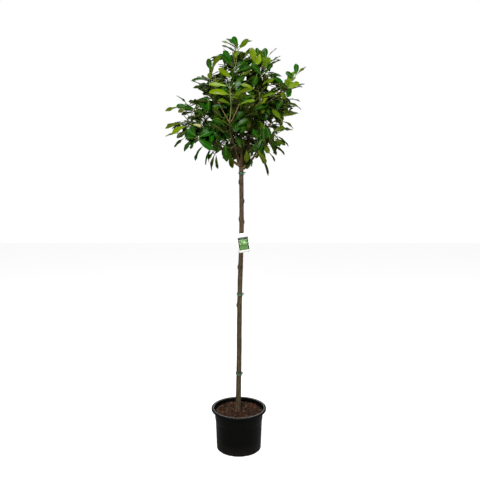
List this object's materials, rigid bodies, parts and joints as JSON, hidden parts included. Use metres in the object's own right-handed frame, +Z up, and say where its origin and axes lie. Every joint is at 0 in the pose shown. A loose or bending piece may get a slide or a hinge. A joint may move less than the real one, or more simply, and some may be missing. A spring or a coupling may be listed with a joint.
{
  "type": "potted cherry laurel",
  "caption": "Evergreen cherry laurel grown as a standard: a clear woody stem with a round crown of leathery leaves, standing in a black nursery pot filled with compost.",
  "frame": {"origin": "middle of the pot's flat underside, which is on the ground", "axes": "+Z up along the stem, +X to the right and -Y to the viewer in the pictured view"},
  "size_m": [0.8004, 0.7036, 2.4192],
  "materials": {
    "pot_plastic": "moulded, black, with a soft sheen",
    "compost": "moist compost with bark chips",
    "trunk_bark": "grey-brown bark",
    "bough_bark": "young olive-brown bark",
    "laurel_leaf": "glossy, leathery leaf",
    "tie_plastic": "soft green tie",
    "label_card": "white coated card with a plain green panel"
  },
  "bodies": {
    "root": {"pot": "pot_plastic", "compost": "compost", "trunk": "trunk_bark", "bough_centre": "bough_bark", "bough_right": "bough_bark", "bough_left": "bough_bark", "bough_right_low": "bough_bark", "bough_front": "bough_bark", "bough_back_left": "bough_bark", "bough_back_right": "bough_bark", "foliage_leader": "laurel_leaf", "foliage_crown_right": "laurel_leaf", "foliage_arm_right": "laurel_leaf", "foliage_crown_left": "laurel_leaf", "foliage_shoulder_left": "laurel_leaf", "foliage_skirt_left": "laurel_leaf", "foliage_shoulder_right": "laurel_leaf", "foliage_skirt_right": "laurel_leaf", "foliage_front": "laurel_leaf", "foliage_skirt_front": "laurel_leaf", "foliage_back_left": "laurel_leaf", "foliage_back_right": "laurel_leaf", "foliage_skirt_back": "laurel_leaf", "tie_low": "tie_plastic", "tie_middle": "tie_plastic", "tie_high": "tie_plastic", "label": "label_card"}
  },
  "joints": []
}
